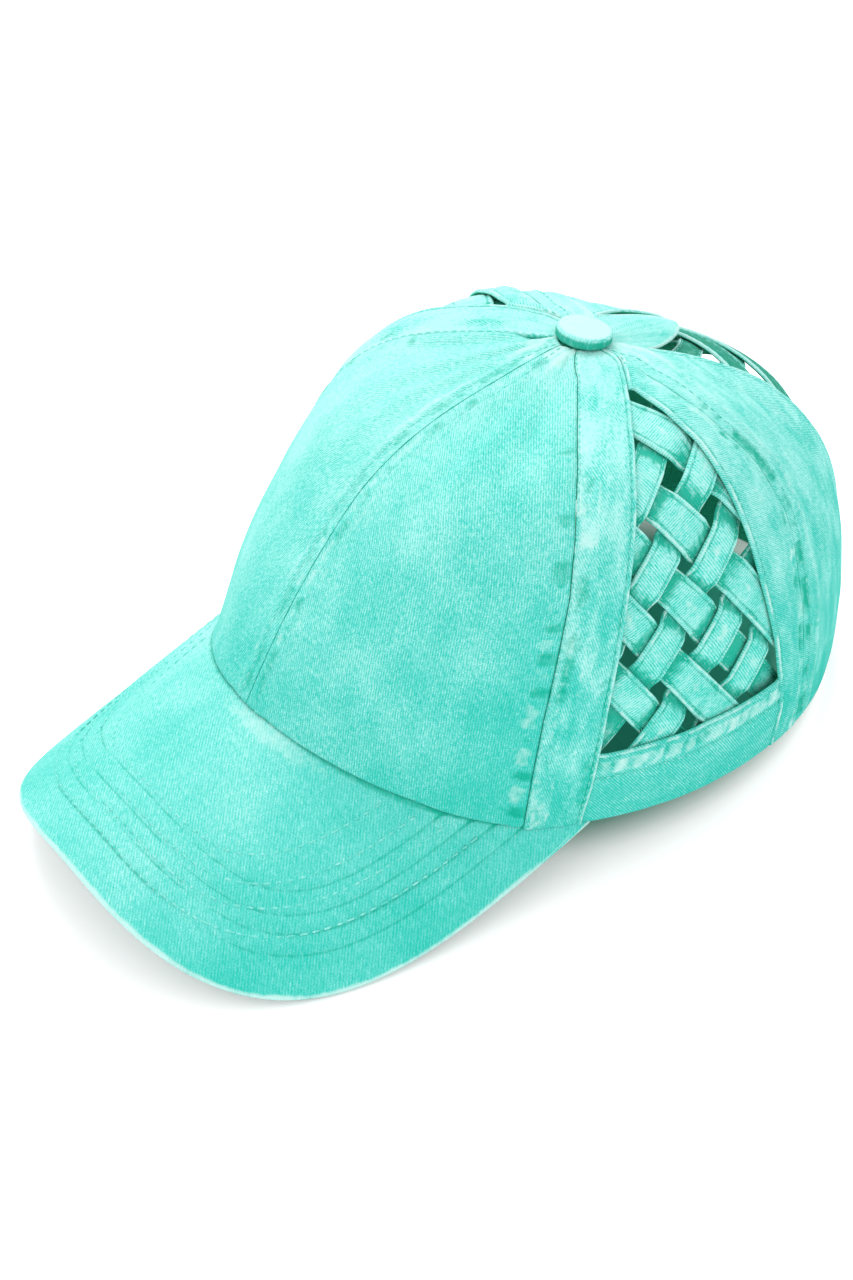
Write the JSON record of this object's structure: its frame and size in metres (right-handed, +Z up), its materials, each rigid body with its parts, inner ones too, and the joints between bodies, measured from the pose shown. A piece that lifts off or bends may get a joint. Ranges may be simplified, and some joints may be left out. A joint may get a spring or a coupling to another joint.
{
  "type": "ponytail baseball cap",
  "caption": "Soft six-panel baseball cap with a curved brim, woven strap lattices in its sides and crossing straps over a rear ponytail opening.",
  "frame": {"origin": "on the table under the middle of the cap's outline", "axes": "+Z up, -Y toward the brim, +X toward the wearer's left"},
  "size_m": [0.1612, 0.2772, 0.1277],
  "materials": {
    "twill_cloth": "washed cotton twill, matt, paler at the seams",
    "brim_cloth": "washed cotton twill over a stiff board, rows of topstitching",
    "strip_cloth": "folded washed twill, paler worn edge",
    "strap_cloth": "folded twill straps, worn pale edges",
    "button_cloth": "cloth-covered button"
  },
  "bodies": {
    "root": {"front_panel_left": "twill_cloth", "front_panel_right": "twill_cloth", "lower_band_left": "twill_cloth", "lower_band_right": "twill_cloth", "rear_side_panel_left": "twill_cloth", "rear_side_panel_right": "twill_cloth", "back_panel_left": "twill_cloth", "back_panel_right": "twill_cloth", "rear_yoke": "twill_cloth", "brim": "brim_cloth", "side_strip_left": "strip_cloth", "side_strip_right": "strip_cloth", "lattice_rising_strap_1_left": "strap_cloth", "lattice_rising_strap_1_right": "strap_cloth", "lattice_rising_strap_2_left": "strap_cloth", "lattice_rising_strap_2_right": "strap_cloth", "lattice_rising_strap_3_left": "strap_cloth", "lattice_rising_strap_3_right": "strap_cloth", "lattice_rising_strap_4_left": "strap_cloth", "lattice_rising_strap_4_right": "strap_cloth", "lattice_rising_strap_5_left": "strap_cloth", "lattice_rising_strap_5_right": "strap_cloth", "lattice_falling_strap_1_left": "strap_cloth", "lattice_falling_strap_1_right": "strap_cloth", "lattice_falling_strap_2_left": "strap_cloth", "lattice_falling_strap_2_right": "strap_cloth", "lattice_falling_strap_3_left": "strap_cloth", "lattice_falling_strap_3_right": "strap_cloth", "lattice_falling_strap_4_left": "strap_cloth", "lattice_falling_strap_4_right": "strap_cloth", "lattice_falling_strap_5_left": "strap_cloth", "lattice_falling_strap_5_right": "strap_cloth", "crossing_strap_1": "strap_cloth", "crossing_strap_2": "strap_cloth", "crossing_strap_3": "strap_cloth", "crossing_strap_4": "strap_cloth", "closure_strap": "strap_cloth", "top_button": "button_cloth"}
  },
  "joints": []
}
